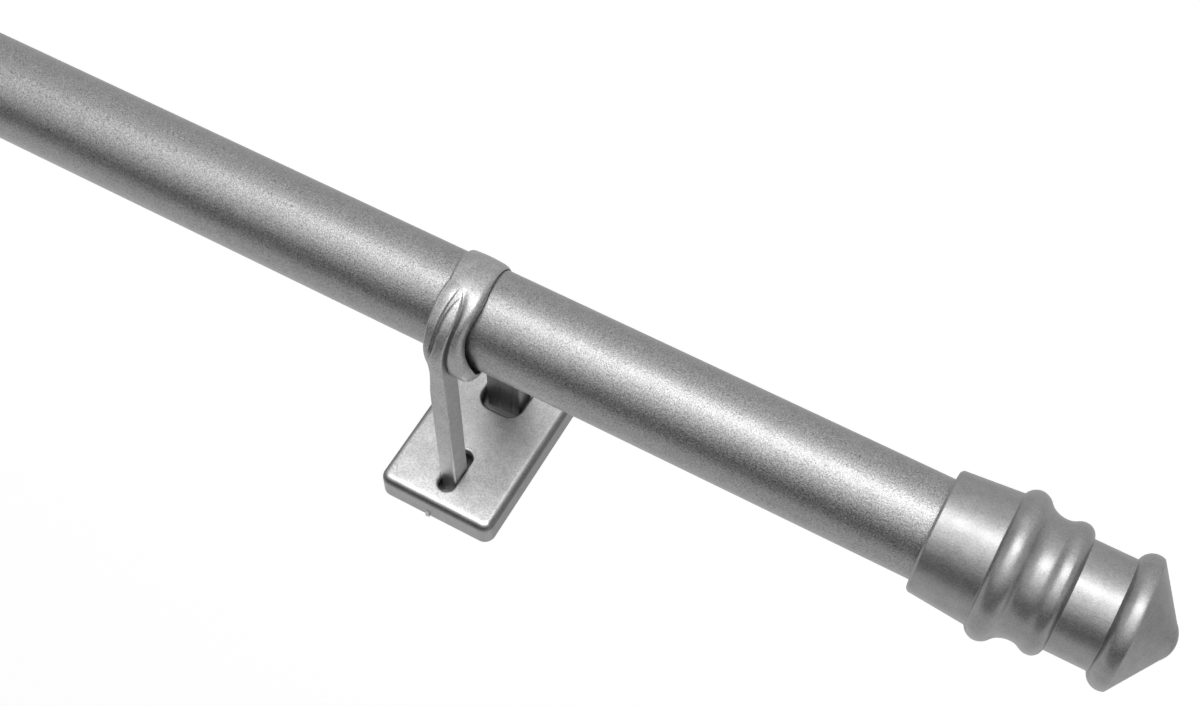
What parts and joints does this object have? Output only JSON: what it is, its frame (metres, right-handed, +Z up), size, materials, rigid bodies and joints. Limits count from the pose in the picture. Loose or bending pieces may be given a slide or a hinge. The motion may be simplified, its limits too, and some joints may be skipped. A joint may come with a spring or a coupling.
{
  "type": "cafe curtain rod",
  "caption": "Telescoping cafe curtain rod in pewter grey with turned finials, hung in ring brackets with covered rectangular wall plates.",
  "frame": {"origin": "middle of the left bracket's wall face, midway between its two screw holes", "axes": "+X along the rod from the left finial to the right one, +Y into the wall, +Z up"},
  "size_m": [0.7524, 0.053, 0.0331],
  "materials": {
    "tube_paint": "fine metallic pewter paint over thin steel tube",
    "cast_paint": "smooth satin pewter paint over castings and mouldings",
    "plated_steel": "plain zinc plated sheet steel"
  },
  "bodies": {
    "left_bracket": {"left_base": "plated_steel", "left_yoke": "cast_paint"},
    "left_cover_body": {"left_cover": "cast_paint"},
    "outer_rod": {"outer_tube": "tube_paint"},
    "left_finial_body": {"left_finial": "cast_paint"},
    "inner_rod": {"inner_tube": "tube_paint"},
    "right_finial_body": {"right_finial": "cast_paint"},
    "right_bracket": {"right_base": "plated_steel", "right_yoke": "cast_paint"},
    "right_cover_body": {"right_cover": "cast_paint"}
  },
  "joints": [
    {"name": "rod_slide", "type": "slide", "parent": "left_bracket", "child": "outer_rod", "axis": [1, 0, 0], "range_m": [-0.072, 0.072]},
    {"name": "telescope", "type": "slide", "parent": "outer_rod", "child": "inner_rod", "axis": [1, 0, 0], "range_m": [0, 0.508]},
    {"name": "left_finial_pull", "type": "slide", "parent": "outer_rod", "child": "left_finial_body", "axis": [-1, 0, 0], "range_m": [0, 0.03]},
    {"name": "right_finial_pull", "type": "slide", "parent": "inner_rod", "child": "right_finial_body", "axis": [1, 0, 0], "range_m": [0, 0.03]},
    {"name": "right_bracket_slide", "type": "slide", "parent": "inner_rod", "child": "right_bracket", "axis": [1, 0, 0], "range_m": [-0.006, 0.072]},
    {"name": "left_cover_slide", "type": "slide", "parent": "left_bracket", "child": "left_cover_body", "axis": [0, -1, 0], "range_m": [0, 0.025]},
    {"name": "right_cover_slide", "type": "slide", "parent": "right_bracket", "child": "right_cover_body", "axis": [0, -1, 0], "range_m": [0, 0.025]}
  ]
}
